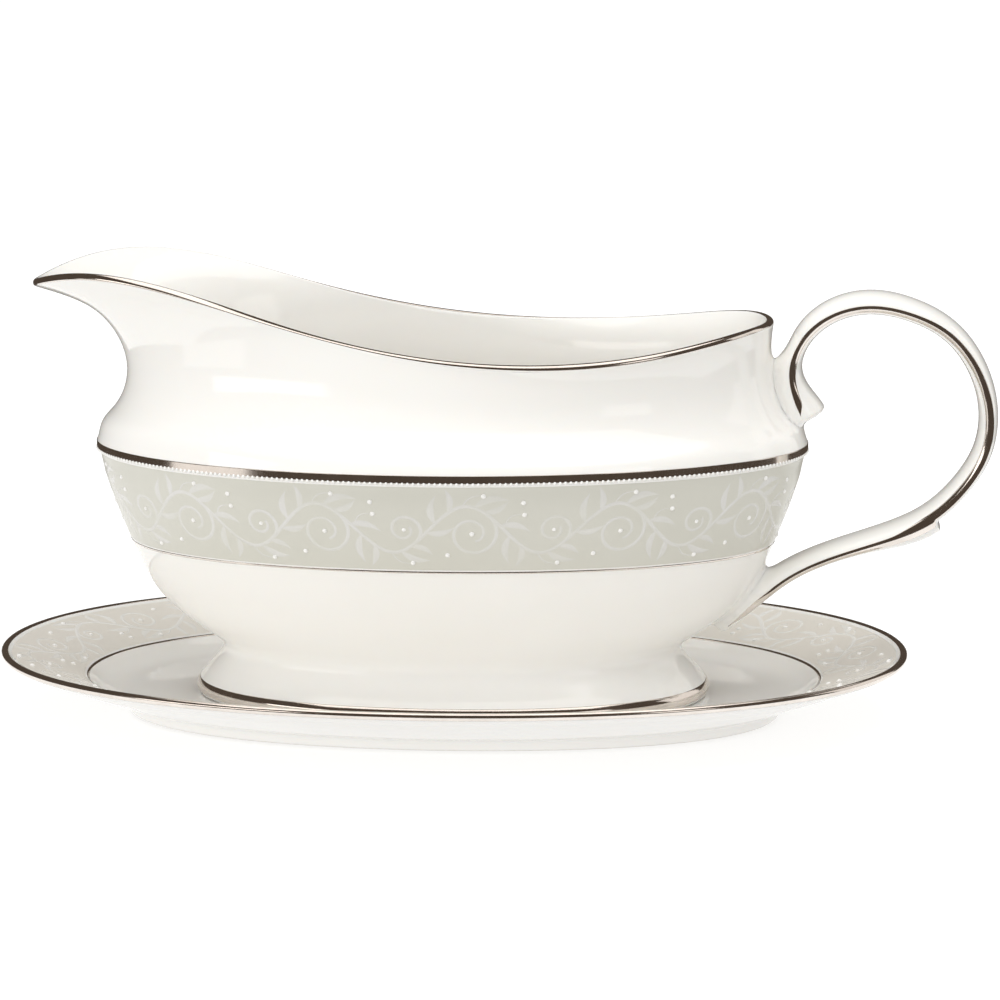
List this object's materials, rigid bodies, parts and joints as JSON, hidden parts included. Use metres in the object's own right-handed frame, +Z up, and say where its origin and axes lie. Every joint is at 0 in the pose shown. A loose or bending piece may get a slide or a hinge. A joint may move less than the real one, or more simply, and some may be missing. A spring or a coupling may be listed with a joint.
{
  "type": "sauce boat on a stand",
  "caption": "Footed oval sauce boat in white china with a pouring spout and high loop handle, platinum bands and an ivory relief border, standing on its matching oval stand.",
  "frame": {"origin": "middle of the overall length and width, at the surface the stand rests on", "axes": "+X towards the handle, -X towards the spout, +Z up, XZ the plane of symmetry"},
  "size_m": [0.2518, 0.1512, 0.1152],
  "materials": {
    "glazed_china": "glossy clear glaze over white china",
    "platinum": "burnished fired-on platinum",
    "ivory_enamel": "ivory grey enamel ground with raised white scrolls and dots"
  },
  "bodies": {
    "stand": {"stand_plate": "glazed_china", "stand_border_band": "ivory_enamel", "stand_rim_band": "platinum", "stand_well_line": "platinum"},
    "boat": {"boat_bowl": "glazed_china", "boat_foot": "glazed_china", "boat_handle": "glazed_china", "boat_bead_border": "glazed_china", "boat_border_line": "platinum", "boat_shoulder_band": "platinum", "boat_rim_band": "platinum", "boat_foot_band": "platinum", "boat_border_band": "ivory_enamel", "handle_stripe_left": "platinum", "handle_stripe_right": "platinum"}
  },
  "joints": [
    {"name": "boat_lift", "type": "slide", "parent": "stand", "child": "boat", "axis": [0, 0, 1], "range_m": [0, 0.09]}
  ]
}
